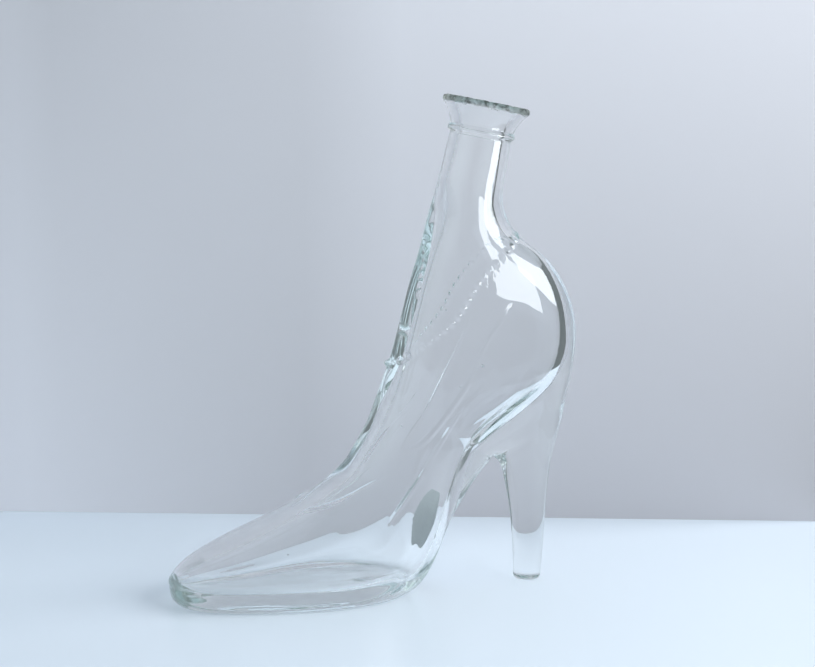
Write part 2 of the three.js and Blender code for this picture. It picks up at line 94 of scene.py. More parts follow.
# Slices from toe to ankle: point on the front line, point on the sole line, half the width, form and walls
# The form says where a slice is widest, and how square it is below and above that
TOE = -TOE_REACH
TOE_SLICES = [
    ((TOE + 1.2, 12.6), (TOE + 1.4, 1.8), 9.6, (0.45, 2.2, 2), FORE_WALLS),
    ((TOE + 6, 17.8), (TOE + 6, -1), 16.6, (0.4, 2.8, 2), FORE_WALLS),
]
BODY_SLICES = [
    ((TOE + 17.5, 25), (TOE + 17.5, -SOLE_SINK), 23.4, (0.33, 3.6, 2), TOE_WALLS),
    ((-136, 32.6), (-135, -SOLE_SINK), 28.2, (0.26, 4, 1.95), FORE_WALLS),
    ((-118, 40.3), (-114, -SOLE_SINK), 31.5, (0.22, 4.2, 1.9), FORE_WALLS),
    ((-105, 47.2), (-92, -SOLE_SINK), 32, (0.22, 4, 1.9), FORE_WALLS),
    ((-95.5, 53.8), (-73, -SOLE_SINK), 28.5, (0.27, 3.4, 1.95), FORE_WALLS),
    ((-88, 61), (-57.5, 0), 22.4, (0.37, 2.6, 2), SHANK_WALLS),
    ((-82.5, 69.5), (-46.5, 12.5), 20.1, (0.43, 2.3, 2), SHANK_WALLS),
    ((-77, 79.5), (-38.8, 30), 19, (0.46, 2.1, 2), SHANK_WALLS),
    ((-73, 90), (-28, 47.4), 19, (0.48, 2, 2), LOW_SEAT_WALLS),
    ((-71.2, 94.8), (-20.8, 56.8), 18.4, (0.485, 2.2, 2), BREAST_WALLS),
    ((-70.2, 97.5), (-17.8, 60.3), 18, (0.49, 2.3, 2), BREAST_WALLS),
    ((-68, 104), (-6, 65.3), 17.5, (0.5, 2.45, 2), SEAT_WALLS),
    ((-65.5, 111.5), (8.5, 76.5), 17.5, (0.5, 2.7, 2), SEAT_WALLS),
    ((-62.5, 122.5), (19.2, 95), 17.5, (0.5, 2.8, 2), HIGH_SEAT_WALLS),
    ((-59.5, 134), (21.7, 115), 17.15, (0.5, 2.8, 2), BACK_WALLS),
    ((-56.5, 145), (18.4, 134), 16.6, (0.5, 2.6, 2), BACK_WALLS),
    ((-53.5, 154.5), (8.3, 151), 15.9, (0.5, 2.3, 2), BACK_WALLS),
    ((-51, 163), (-5.5, 162), 15.4, (0.5, 2, 2), NAPE_WALLS),
    ((-48.5, 172.5), (-12.2, 172.5), 15.2, (0.5, 2, 2), NAPE_WALLS),
]
INNER_TOE_SLICES = [
    ((TOE + 4.4, 12.4), (TOE + 4.4, 8.2), 7.6, (0.4, 2, 2)),
    ((TOE + 7.6, 15.2), (TOE + 7.6, 7.2), 13.2, (0.35, 2.6, 2)),
]

# How far the caps that close the skin at the toe bulge, outside and inside
OUTER_DOME = 1.2
INNER_DOME = 0.7

# The finish of the neck, outside and then inside: distance along the neck's axis from its top, and radius
NECK_OUTSIDE = [(-24, 15.1), (-12, 14.6), (-3, 14.2)]
FINISH = [
    (-0.3, 14.1), (0.4, 14.5), (1.1, 15.25), (2.1, 15.5), (3.1, 15.25), (3.7, 14.75), (4.2, 14.75),
    (5.6, 15.1), (7.6, 15.9), (9.8, 17.1), (11.6, 18.4), (13, 19.5), (13.7, 20), (14.6, 20.2), (15.5, 20),
    (16, 19.5), (16.2, 18.6), (16.1, 17.4), (15.6, 16.7), (13.6, 14.9), (11, 12.9), (8, 11.2), (4.5, 10.1),
    (0, 9.95), (-6, 10), (-14, 10.5), (-24, 11),
]

# The heel, drawn down from the seat: front point, back point and half width of each ring
HEEL_RINGS = [
    ((-16.9, 59.5), (18.2, 88.5), 12.9),
    ((-14.6, 57.4), (17, 82), 12.3),
    ((-12.7, 54), (15, 73.5), 11.5),
    ((-11.4, 49), (12.8, 65.5), 10.7),
    ((-10.2, 43.5), (10.5, 54.5), 9.8),
    ((-9, 37), (9.3, 43), 8.9),
    ((-8, 29.5), (8.4, 32), 8.1),
    ((-7.2, 20.5), (7.8, 21.2), 7.5),
    ((-6.7, 11), (7.2, 11), 6.9),
    ((-6.5, 4), (6.6, 4), 6.5),
    ((-6.4, 1.4), (6.4, 1.4), 6.4),
    ((-5.9, 0.3), (5.9, 0.3), 5.9),
    ((-5, 0), (5, 0), 5),
]

# Where the heel leaves the seat: its first ring of the skin, the rows it takes, and half the columns
HEEL_SLICE = 10
HEEL_RING = len(TOE_SLICES) + HEEL_SLICE
HEEL_ROWS = 3
HEEL_COLUMNS = 6

# Shallow egg-shaped hollow under the forefoot; the slope is the share of it in which it deepens
RECESS_MIDDLE = -95
RECESS_FORE = 58
RECESS_AFT = 21
RECESS_HALF = 22
RECESS_DEPTH = 1
RECESS_SLOPE = 0.25

# Unevenness of skin and blown wall: height; pace round the shoe, pace along it and number of the pattern
SKIN_WAVE = 0.25
SKIN_PACE = (40, 0.15, 4.5)
WALL_WAVE = 0.6
WALL_PACE = (10, 0.45, 1.5)
FINE_WAVE = 0.4
FINE_PACE = (36, 0.25, 9.5)

# The unevenness is on the sides only: where it sets in between the middle lines and the flank, and how soon
FLANK_START = 0.55
FLANK_SPAN = 0.45

# Ripple of the hollow's base: height; pace along the shoe, pace across it and number of the pattern
BASE_WAVE = 0.5
BASE_PACE = (0.12, 0.2, 2.5)

# Rounds that fit the cage to its points, and subdivision of the skin and of a finer copy for its details
CAGE_ROUNDS = 4
SKIN_LEVELS = 2
FINE_LEVELS = 3

# Cut edge of the lip: start along the neck's axis, radius it lies outside of, length until it is all rough
RIM_START = 13
RIM_INSIDE = 16.2
RIM_FADE = 0.5

# Chips in the cut edge; the depths down and inwards are of the whole edge, of fine chips and of coarse ones
CHIP_FADE = 0.6
CHIP_FINE_PACE = 0.9
CHIP_COARSE_PACE = 0.33
CHIP_COARSE_SHIFT = Vector((7, 3, 1))
CHIP_COARSE_START = 0.15
CHIP_DOWN = (0.2, 0.4, 2)
CHIP_INWARD = (0.15, 0.3, 0.8)

# Beads along the topline: the ends of the line in the plane of symmetry, its bow and sag, and the beads
TRIM_FRONT = (-66, 0, 107)
TRIM_BACK = (-7, 0, 163.5)
TRIM_BOW = 2.5
TRIM_SAG = 2
TRIM_STEPS = 180
BEAD_PITCH = 4.2
BEAD_DIAMETER = 3.4
BEAD_HEIGHT = 0.85
KNOB_DIAMETER = 4.6
KNOB_HEIGHT = 1.9

# Ridge on each side of the vamp: start, bend and end of its line seen from the side, and its greatest size
RIDGE_LINE = [(-109.4, 41.7), (-91.2, 46), (-70.1, 58.8)]
RIDGE_STEPS = 160
RIDGE_WIDTH = 2.4
RIDGE_HEIGHT = 1.3

# How the ridge begins, rises and fades along its line, and the least share of its width
RIDGE_LEAD = 0.02
RIDGE_RISE = 0.08
RIDGE_FADE = 0.7
RIDGE_LEAST = 0.4

# Flow lines left in the glass by the mould: side, greatest width and height, and points seen from the side
FLOWS = [
    (-1, 3.2, 0.75, [(-14.3, 132.4), (-27.6, 112.8), (-36, 94.8), (-54.2, 72.9), (-66.8, 66.6)]),
    (-1, 3.4, 0.85, [(-37, 86.5), (-48.7, 69.9), (-58.1, 54.7), (-72.6, 35.6)]),
    (-1, 2.2, 0.5, [(-54.9, 97.8), (-61.4, 89), (-72, 77), (-82, 61.6)]),
    (1, 3, 0.6, [(-20, 128), (-33, 104), (-44, 84), (-60, 60)]),
]
FLOW_STEP = 0.6

# How the flow lines fade towards both ends, and the least share of their width
FLOW_FADE = 0.6
FLOW_LEAST = 0.5

# How far round the details the skin is refined, and laid on the finer copy; how softly they run out into it
DETAIL_REACH = 1.7
SNAP_REACH = 3 * DETAIL_REACH
DETAIL_CUTS = 3
BEAD_POWER = 1
RIDGE_POWER = 1.5

# Distances that lie outside the whole shoe, from the plane of symmetry and from the middle of the topline
SIDE_OUTSIDE = 80
TRIM_OUTSIDE = 90

# Seed bubbles: place seen from the side, side of the shoe, diameter; and their depth in the wall
SEEDS = [
    (-27.5, 105.4, -1, 1.3),
    (-44, 131, -1, 0.7),
    (-38, 96, -1, 0.6),
    (-60, 74, 1, 0.8),
    (-120, 26, -1, 0.7),
]
SEED_DEPTH = 1.8
SEED_SEGMENTS = 16
SEED_RINGS = 10

# Label: the shank's underside beside its ends, the round it is wrapped on, and its turn to the far flank
LABEL_LOWER = (-46.8, 0, 14.3)
LABEL_UPPER = (-36.2, 0, 38.9)
LABEL_ROUND = 13
LABEL_TURN = math.radians(54)

# The label is laid on from this many rounds away
LABEL_AWAY = 3

# Size of the label, how far it stands proud of the glass, its mesh and its scalloped edge
LABEL_LENGTH = 29.5
LABEL_WIDTH = 16.5
LABEL_THICKNESS = 0.4
LABEL_PROUD = 0.15
LABEL_POINTS = 168
LABEL_RINGS = 6
LABEL_SCALLOPS = 28
LABEL_SCALLOP_DEPTH = 0.012
LABEL_CREASE = math.radians(40)

# Clear glass: refraction, and what it swallows on the way through
GLASS_REFRACTION = 1.5
GLASS_TINT = (0.52, 0.72, 0.68, 1)
GLASS_DENSITY = 2.8
UNTINTED = (1, 1, 1, 1)

# Light that the glass lets through into its shadow: all of it face on, and less from a slant on to grazing
SHADOW_SLANT = 0.4
SHADOW_FACE_ON = 1
SHADOW_GRAZING = 0.2

# Broken glass on the cut edge: roughness, size of its flakes, and their tones from dark to pale
CUT_ROUGHNESS = 0.5
FLAKE_SCALE = 420
FLAKE_DETAIL = 5
FLAKE_TONES = [(0.4, (0.04, 0.042, 0.032, 1)), (0.6, (0.52, 0.56, 0.52, 1))]

# Label paper: roughness, fineness of its fibres, and their tones
PAPER_ROUGHNESS = 0.7
FIBRE_SCALE = 900
FIBRE_DETAIL = 4
FIBRE_TONES = [(0, (0.62, 0.69, 0.73, 1)), (1, (0.74, 0.81, 0.85, 1))]

# Camera: what it looks at on the bottle, from where, and its lens, given in pixels of the image's width
CAMERA_AIM = Vector((-58.4, 0, 119))
CAMERA_AZIMUTH = math.radians(-15)
CAMERA_DISTANCE = 0.9
CAMERA_HEIGHT = 0.26
FOCAL_PIXELS = 1993
IMAGE_PIXELS = 815
SENSOR_WIDTH = 36

# Stage: a point where floor and backdrop meet, their turn, their reach to the right of it, and their size
STAGE_FOOT = Vector((0.0459, 0.1289, 0))
STAGE_TURN = math.radians(-17.9)
STAGE_REACH = 0.226
STAGE_SIZE = 3

# Floor: how far it comes forward of the backdrop and lies below the bottle, and its finish
FLOOR_DEPTH = 0.6
FLOOR_DROP = 0.0002
FLOOR_COLOUR = (0.74, 0.83, 0.93, 1)
FLOOR_ROUGHNESS = 0.25

# Backdrop: its finish, and its painted light: how pale it is at its foot, and how much paler higher up, from
# left to right
BACKDROP_COLOUR = (0.65, 0.65, 0.70)
BACKDROP_ROUGHNESS = 0.8
BACKDROP_RISE = 0.28
BACKDROP_LEFT = STAGE_SIZE / 2 - STAGE_REACH - 0.2
FOOT_SPAN = (BACKDROP_LEFT, BACKDROP_LEFT + 0.15)
FOOT_PAINTED_LIGHT = (1.28, 0.81)
GAIN_SPAN = (BACKDROP_LEFT + 0.02, BACKDROP_LEFT + 0.2)
GAIN_PAINTED_LIGHT = (-0.2, 0.52)

# Soft light all round: its colour, its strength from the left to the rest, and what is added towards the top
SKY_COLOUR = (0.83, 0.96, 1, 1)
SKY_SPAN = (-1, -0.4)
SKY_TONES = (1.2, 0.18)
SKY_TOP = 0.15

# Lamps that face the ankle: azimuth, elevation and roll in degrees, distance, size and power
ANKLE = Vector((0.05, -0.01, 0.15))
LAMPS = [
    ("key", (-8, 28, 0), 1.5, (0.5, 0.7), 12),
    ("fill", (-45, 28, 0), 1.3, (0.8, 0.8), 15),
]

# Panes are lamps that only the glass mirrors, given in the same way
PANES = [
    ("left_pane", (-61, -0.5, 6), 0.14, (0.076, 0.044), 0.1),
    ("right_pane", (-37, 11, 20), 0.14, (0.072, 0.062), 0.16),
]
PANE_COLOUR = (0.92, 0.98, 1)

# Light crosses many surfaces of glass before it is seen
LIGHT_BOUNCES = 40


def select_none():
    """Leave nothing selected, in object mode."""
    if bpy.context.mode != "OBJECT":
        bpy.ops.object.mode_set(mode="OBJECT")
    bpy.ops.object.select_all(action="DESELECT")


def to_frame(point):
    """From millimetres about the heel's axis to the frame's metres."""
    return Vector((point.x * MM + HEEL_AXIS, point.y * MM, point.z * MM))


def slice_ring(front, sole, half, form):
    """The points of one slice, column by column: the front line first, the sole line half-way round."""
    belly, below, above = form
    front = Vector((front[0], 0, front[1]))
    sole = Vector((sole[0], 0, sole[1]))
    widest = sole.lerp(front, belly)
    points = []
    for column in range(COLUMNS):
        angle = 2 * math.pi * column / COLUMNS
        along, across = math.cos(angle), math.sin(angle)
        power = 2 / (below if along < 0 else above)
        end = sole if along < 0 else front
        point = widest.lerp(end, abs(along) ** power)
        point.y = half * math.copysign(abs(across) ** power, across)
        points.append(point)
    return points


def hollow_slice(front, sole, half, form, walls):
    """The slice of the hollow inside a slice of the glass."""
    start, end = Vector(front), Vector(sole)
    inward = (end - start).normalized()
    start = start + inward * walls[0]
    end = end - inward * walls[1]
    belly, below, above = form
    return slice_ring(start, end, half - walls[2], (belly, min(below, walls[3]), above))


def neck_ring(distance, radius):
    """A circle round the neck's axis, with the same columns as the slices."""
    centre = NECK_TOP + NECK_AXIS * distance
    points = []
    for column in range(COLUMNS):
        angle = 2 * math.pi * column / COLUMNS
        point = centre - NECK_BACK * radius * math.cos(angle)
        point.y = radius * math.sin(angle)
        points.append(point)
    return points


def recess(x, y):
    """How deep the shallow hollow under the forefoot is at a point."""
    reach = RECESS_FORE if x < RECESS_MIDDLE else RECESS_AFT
    inside = 1 - ((x - RECESS_MIDDLE) / reach) ** 2 - (y / RECESS_HALF) ** 2
    return RECESS_DEPTH * min(max(inside / RECESS_SLOPE, 0), 1)


def flank(column):
    """How far a column lies on the side of the shoe: 0 round the front and sole lines, 1 half-way between."""
    return max(abs(math.sin(2 * math.pi * column / COLUMNS)) - FLANK_START, 0) / FLANK_SPAN


def ring_noise(column, place, pace):
    """Smooth noise round the shoe and along it."""
    return noise.noise(Vector((pace[0] * column / COLUMNS, pace[1] * place, pace[2])))


def outer_points(points, place):
    """Stand a ring of the outer skin on the floor, hollow its underside, and draw faint streaks along it."""
    middle = sum(points, Vector()) / len(points)
    for column, point in enumerate(points):
        flute = ring_noise(column, place, SKIN_PACE)
        point += (point - middle).normalized() * SKIN_WAVE * flank(column) * flute
        if point.z < 0:
            point.z = recess(point.x, point.y)
    return points


def inner_points(points, place):
    """Give a ring of the hollow its flat base and the unevenness of the blown wall."""
    middle = sum(points, Vector()) / len(points)
    for column, point in enumerate(points):
        wave = ring_noise(column, place, WALL_PACE) + FINE_WAVE * ring_noise(column, place, FINE_PACE)
        point += (point - middle).normalized() * WALL_WAVE * flank(column) * wave
        ripple = noise.noise(Vector((BASE_PACE[0] * point.x, BASE_PACE[1] * point.y, BASE_PACE[2])))
        point.z = max(point.z, BASE_THICKNESS + BASE_WAVE * ripple)
    return points


def glass_rings():
    """All rings of the glass skin, from the outer toe over the rim to the inner toe."""
    rings = []
    for place, cut in enumerate(TOE_SLICES + BODY_SLICES):
        rings.append(outer_points(slice_ring(*cut[:4]), place))
    rings += [neck_ring(*spot) for spot in NECK_OUTSIDE + FINISH]
    for place, cut in enumerate(reversed(BODY_SLICES)):
        rings.append(inner_points(hollow_slice(*cut), place))
    for place, cut in enumerate(reversed(INNER_TOE_SLICES)):
        rings.append(inner_points(slice_ring(*cut), len(BODY_SLICES) + place))
    return rings


def extrude_rings(name, rings):
    """Draw a skin ring by ring out of a circle; each vertex keeps the number of its column and ring."""
    select_none()
    bpy.ops.mesh.primitive_circle_add(vertices=len(rings[0]), radius=0.01, fill_type="NOTHING")
    piece = bpy.context.active_object
    piece.name = name
    bpy.ops.object.mode_set(mode="EDIT")
    mesh = bmesh.from_edit_mesh(piece.data)
    column_of = mesh.verts.layers.int.new("column")
    mesh.verts.layers.int.new("ring")
    mesh.verts.ensure_lookup_table()
    for vert in mesh.verts:
        vert[column_of] = vert.index
        vert.co = rings[0][vert.index]
    bmesh.update_edit_mesh(piece.data)
    for number, ring in enumerate(rings[1:], start=1):
        bpy.ops.mesh.extrude_region_move()
        mesh = bmesh.from_edit_mesh(piece.data)
        column_of = mesh.verts.layers.int["column"]
        ring_of = mesh.verts.layers.int["ring"]
        for vert in mesh.verts:
            if vert.select:
                vert[ring_of] = number
                vert.co = ring[vert[column_of]]
        bmesh.update_edit_mesh(piece.data)
    return piece


def close_toe(glass, ring_number, dome):
    """Fill one open end with a grid of quads, domed towards the toe; a cap filled before bulges with it."""
    bpy.ops.mesh.select_all(action="DESELECT")
    mesh = bmesh.from_edit_mesh(glass.data)
    column_of = mesh.verts.layers.int["column"]
    ring_of = mesh.verts.layers.int["ring"]
    known = {vert.index for vert in mesh.verts}
    rim = [vert for vert in mesh.verts if vert[ring_of] == ring_number]
    for vert in rim:
        vert.select = True
    mesh.select_flush(True)
    corner = next(vert for vert in rim if vert[column_of] == COLUMNS // 8)
    mesh.select_history.clear()
    mesh.select_history.add(corner)
    middle = sum((vert.co for vert in rim), Vector()) / len(rim)
    height = max(abs(vert.co.z - middle.z) for vert in rim)
    width = max(abs(vert.co.y - middle.y) for vert in rim)
    bmesh.update_edit_mesh(glass.data)
    bpy.ops.mesh.fill_grid(span=COLUMNS // 4)
    mesh = bmesh.from_edit_mesh(glass.data)
    ring_of = mesh.verts.layers.int["ring"]
    for vert in mesh.verts:
        if vert.index not in known or vert[ring_of] < 0:
            out = ((vert.co.y - middle.y) / width) ** 2 + ((vert.co.z - middle.z) / height) ** 2
            vert.co.x -= dome * MM * max(0, 1 - out)
            vert[ring_of] = -1
    bmesh.update_edit_mesh(glass.data)


def heel_spot(across, along):
    """Where a vertex of the drawn-out patch lies on the heel's round: share of the radius and angle."""
    share = max(abs(across), abs(along))
    if share == 0:
        return 0, 0
    across, along = across / share, along / share
    turn = 2 * (2 * HEEL_COLUMNS + HEEL_ROWS)
    if along <= -1:
        step = HEEL_COLUMNS * across
    elif along >= 1:
        step = turn / 2 - HEEL_COLUMNS * across
    else:
        step = math.copysign(HEEL_COLUMNS + HEEL_ROWS * (along + 1) / 2, across)
    return share, 2 * math.pi * step / turn


def draw_heel(glass):
    """Extrude the faces of the seat, ring by ring, down to the heel tip."""
    bpy.ops.mesh.select_all(action="DESELECT")
    bpy.ops.mesh.select_mode(type="FACE")
    mesh = bmesh.from_edit_mesh(glass.data)
    column_of = mesh.verts.layers.int["column"]
    ring_of = mesh.verts.layers.int["ring"]
    rows = range(HEEL_RING, HEEL_RING + HEEL_ROWS + 1)
    columns = range(SOLE_COLUMN - HEEL_COLUMNS, SOLE_COLUMN + HEEL_COLUMNS + 1)
    for face in mesh.faces:
        face.select = all(vert[ring_of] in rows and vert[column_of] in columns for vert in face.verts)
    mesh.select_flush_mode()
    bmesh.update_edit_mesh(glass.data)
    for front, back, half in HEEL_RINGS:
        bpy.ops.mesh.extrude_region_move()
        mesh = bmesh.from_edit_mesh(glass.data)
        column_of = mesh.verts.layers.int["column"]
        ring_of = mesh.verts.layers.int["ring"]
        start = Vector((front[0], 0, front[1]))
        middle = (start + Vector((back[0], 0, back[1]))) / 2
        for vert in mesh.verts:
            if vert.select:
                across = (SOLE_COLUMN - vert[column_of]) / HEEL_COLUMNS
                along = 2 * (vert[ring_of] - HEEL_RING) / HEEL_ROWS - 1
                share, angle = heel_spot(across, along)
                point = middle + (start - middle) * share * math.cos(angle)
                point.y = half * share * math.sin(angle)
                vert.co = to_frame(point)
        bmesh.update_edit_mesh(glass.data)


def run_through_points(glass):
    """Move the cage out so that the smooth surface runs through the points that the cage was laid on."""
    mesh = bmesh.new()
    mesh.from_mesh(glass.data)
    wanted = [vert.co.copy() for vert in mesh.verts]
    for _ in range(CAGE_ROUNDS):
        limits = []
        for vert in mesh.verts:
            count = len(vert.link_edges)
            beside = [edge.other_vert(vert) for edge in vert.link_edges]
            near = sum((other.co for other in beside), Vector())
            far = Vector()
            for face in vert.link_faces:
                corners = [other.co for other in face.verts if other is not vert and other not in beside]
                far += sum(corners, Vector()) / max(len(corners), 1)
            limits.append((vert.co * count * count + near * 4 + far) / (count * (count + 5)))
        for vert, want, limit in zip(mesh.verts, wanted, limits):
            vert.co += want - limit
    mesh.to_mesh(glass.data)
    mesh.free()


def skin_of(glass):
    """The glass as it is now, with its modifiers, ready for rays and nearest points."""
    return BVHTree.FromObject(glass, bpy.context.evaluated_depsgraph_get())


def join(pieces):
    """Make one object of several."""
    select_none()
    for piece in pieces:
        piece.select_set(True)
    bpy.context.view_layer.objects.active = pieces[0]
    bpy.ops.object.join()
    return bpy.context.active_object


def neck_place(point):
    """Distance along the neck's axis from its top, and distance from that axis, in millimetres."""
    local = Vector(((point.x - HEEL_AXIS) / MM, point.y / MM, point.z / MM)) - NECK_TOP
    along = local.dot(NECK_AXIS)
    return along, (local - NECK_AXIS * along).length


def chip_rim(glass):
    """Break the cut edge of the lip: shallow flakes all round, and a few deeper chips."""
    for vert in glass.data.vertices:
        along, radius = neck_place(vert.co)
        if along > RIM_START and radius > RIM_INSIDE:
            fade = min((along - RIM_START) / CHIP_FADE, 1)
            fine = noise.noise(vert.co / MM * CHIP_FINE_PACE)
            coarse = noise.noise(vert.co / MM * CHIP_COARSE_PACE + CHIP_COARSE_SHIFT)
            coarse = max(coarse - CHIP_COARSE_START, 0)
            down = CHIP_DOWN[0] + CHIP_DOWN[1] * fine + CHIP_DOWN[2] * coarse
            inward = CHIP_INWARD[0] + CHIP_INWARD[1] * fine + CHIP_INWARD[2] * coarse
            vert.co -= NECK_AXIS * MM * fade * down
            outward = vert.co - to_frame(NECK_TOP + NECK_AXIS * along)
            vert.co -= outward.normalized() * MM * fade * inward


def mark_cut_edge(glass):
    """Note on each vertex how rough the glass is there: 1 on the cut edge of the lip, 0 elsewhere."""
    mark = glass.data.attributes.new("cut_edge", "FLOAT", "POINT")
    for vert in glass.data.vertices:
        along, radius = neck_place(vert.co)
        rough = min(max((along - RIM_START) / RIM_FADE, 0), 1) if radius > RIM_INSIDE else 0
        mark.data[vert.index].value = rough


def side_hit(skin, x, z, side):
    """Where the skin is, seen square from one side, and its normal there."""
    start = to_frame(Vector((x, SIDE_OUTSIDE * side, z)))
    hit, normal, _, _ = skin.ray_cast(start, Vector((0, -side, 0)))
    return hit, normal


def bead_spots(skin):
    """Points along the topline, one bead pitch apart, found on the skin from outside."""
    front, back = Vector(TRIM_FRONT), Vector(TRIM_BACK)
    rise = (back - front).normalized()
    square = Vector((-rise.z, 0, rise.x))
    middle = (front + back) / 2
    line = []
    for step in range(TRIM_STEPS):
        angle = 2 * math.pi * step / TRIM_STEPS
        out = Vector((0, math.sin(angle), 0)) - rise * math.cos(angle)
        half_turn = min(angle, 2 * math.pi - angle)
        bow = -TRIM_BOW * math.sin(2 * half_turn) - TRIM_SAG * math.sin(half_turn)
        start = to_frame(middle + square * bow + out * TRIM_OUTSIDE)
        line.append(skin.ray_cast(start, -out)[0])
    line.append(line[0])
    lengths = [(b - a).length for a, b in zip(line, line[1:])]
    count = round(sum(lengths) / (BEAD_PITCH * MM))
    spots = []
    travelled, step = 0, 0
    for bead in range(count):
        wanted = bead * sum(lengths) / count
        while travelled + lengths[step] < wanted:
            travelled += lengths[step]
            step += 1
        share = (wanted - travelled) / lengths[step]
        spots.append(line[step].lerp(line[step + 1], share))
    return spots


def bead_bumps(skin):
    """The row of beads along the topline, with a knob in front: spot, radius, height and softness of each."""
    beads = [(spot, BEAD_DIAMETER / 2, BEAD_HEIGHT, BEAD_POWER) for spot in bead_spots(skin)]
    beads[0] = (beads[0][0], KNOB_DIAMETER / 2, KNOB_HEIGHT, RIDGE_POWER)
    return beads


def ridge_bumps(skin, side):
    """The low ridge at the throat, on one side of the vamp, as close-set bumps that thin out upwards."""
    start, bend, end = (Vector(point) for point in RIDGE_LINE)
    bumps = []
    for step in range(RIDGE_STEPS):
        share = step / RIDGE_STEPS
        place = start * (1 - share) ** 2 + bend * 2 * share * (1 - share) + end * share ** 2
        swell = min((share + RIDGE_LEAD) / RIDGE_RISE, 1) * (1 - share) ** RIDGE_FADE
        radius = RIDGE_WIDTH / 2 * (RIDGE_LEAST + (1 - RIDGE_LEAST) * swell)
        spot = side_hit(skin, place.x, place.y, side)[0]
        bumps.append((spot, radius, RIDGE_HEIGHT * swell, RIDGE_POWER))
    return bumps


def along_line(line, travel):
    """The point of a smooth line through points, so far along the straight spans between them."""
    spans = [(b - a).length for a, b in zip(line, line[1:])]
    span = 0
    while span < len(spans) - 1 and travel > spans[span]:
        travel -= spans[span]
        span += 1
    share = travel / spans[span]
    before = line[max(span - 1, 0)]
    after = line[min(span + 2, len(line) - 1)]
    start, end = line[span], line[span + 1]
    pull = ((end - before) * (1 - share) - (after - start) * share) / 2
    return start.lerp(end, share) + share * (1 - share) * (pull - (end - start) * (1 - 2 * share))


def flow_bumps(skin):
    """The flow lines, as close-set low bumps that swell and fade along each line."""
    bumps = []
    for side, width, height, points in FLOWS:
        line = [Vector(point) for point in points]
        length = sum((b - a).length for a, b in zip(line, line[1:]))
        count = round(length / FLOW_STEP)
        for step in range(count + 1):
            place = along_line(line, length * step / count)
            swell = max(math.sin(math.pi * step / count), 0) ** FLOW_FADE
            radius = width / 2 * (FLOW_LEAST + (1 - FLOW_LEAST) * swell)
            spot = side_hit(skin, place.x, place.y, side)[0]
            bumps.append((spot, radius, height * swell, RIDGE_POWER))
    return bumps


def mould_details(glass, skin):
    """Refine the skin along the topline, the throat and the flow lines, and raise their relief out of it."""
    bumps = bead_bumps(skin) + ridge_bumps(skin, -1) + ridge_bumps(skin, 1) + flow_bumps(skin)
    near = KDTree(len(bumps))
    for number, bump in enumerate(bumps):
        near.insert(bump[0], number)
    near.balance()
    select_none()
    glass.select_set(True)
    bpy.context.view_layer.objects.active = glass
    bpy.ops.object.mode_set(mode="EDIT")
    bpy.ops.mesh.select_mode(type="FACE")
    bpy.ops.mesh.select_all(action="DESELECT")
    mesh = bmesh.from_edit_mesh(glass.data)
    for face in mesh.faces:
        _, number, distance = near.find(face.calc_center_median())
        face.select = distance < (bumps[number][1] + DETAIL_REACH) * MM
    mesh.select_flush_mode()
    bmesh.update_edit_mesh(glass.data)
    bpy.ops.mesh.subdivide(number_cuts=DETAIL_CUTS)
    bpy.ops.object.mode_set(mode="OBJECT")
    for vert in glass.data.vertices:
        if near.find(vert.co)[2] > SNAP_REACH * MM:
            continue
        place, normal, _, _ = skin.find_nearest(vert.co)
        height = 0
        for _, number, distance in near.find_range(place, KNOB_DIAMETER * MM):
            _, radius, top, power = bumps[number]
            height = max(height, top * max(1 - (distance / MM / radius) ** 2, 0) ** power)
        vert.co = place + normal * height * MM


def seed_bubbles(skin):
    """Small bubbles of air inside the side walls, with their faces turned to the air."""
    seeds = []
    for x, z, side, diameter in SEEDS:
        hit, normal = side_hit(skin, x, z, side)
        select_none()
        bpy.ops.mesh.primitive_uv_sphere_add(
            segments=SEED_SEGMENTS, ring_count=SEED_RINGS, radius=diameter / 2 * MM
        )
        seed = bpy.context.active_object
        seed.data.transform(Matrix.Translation(hit - normal * SEED_DEPTH * MM))
        seeds.append(seed)
    bubbles = join(seeds)
    bpy.ops.object.mode_set(mode="EDIT")
    bpy.ops.mesh.select_all(action="SELECT")
    bpy.ops.mesh.flip_normals()
    bpy.ops.object.mode_set(mode="OBJECT")
    return bubbles


def make_glass():
    """The whole glass as one piece: skin, caps, heel, chipped rim, relief and bubbles."""
    rings = [[to_frame(point) for point in ring] for ring in glass_rings()]
    glass = extrude_rings("bottle_glass", rings)
    close_toe(glass, 0, OUTER_DOME)
    close_toe(glass, len(rings) - 1, INNER_DOME)
    draw_heel(glass)
    bpy.ops.mesh.select_all(action="SELECT")
    bpy.ops.mesh.normals_make_consistent(inside=False)
    bpy.ops.object.mode_set(mode="OBJECT")
    run_through_points(glass)
    smooth = glass.modifiers.new("smooth", "SUBSURF")
    smooth.levels = FINE_LEVELS
    skin = skin_of(glass)
    smooth.levels = smooth.render_levels = SKIN_LEVELS
    bpy.ops.object.modifier_apply(modifier=smooth.name)
    for vert in glass.data.vertices:
        vert.co.z = max(vert.co.z, 0)
    chip_rim(glass)
    mould_details(glass, skin)
    glass = join([glass, seed_bubbles(skin)])
    bpy.ops.object.shade_smooth()
    mark_cut_edge(glass)
    return glass


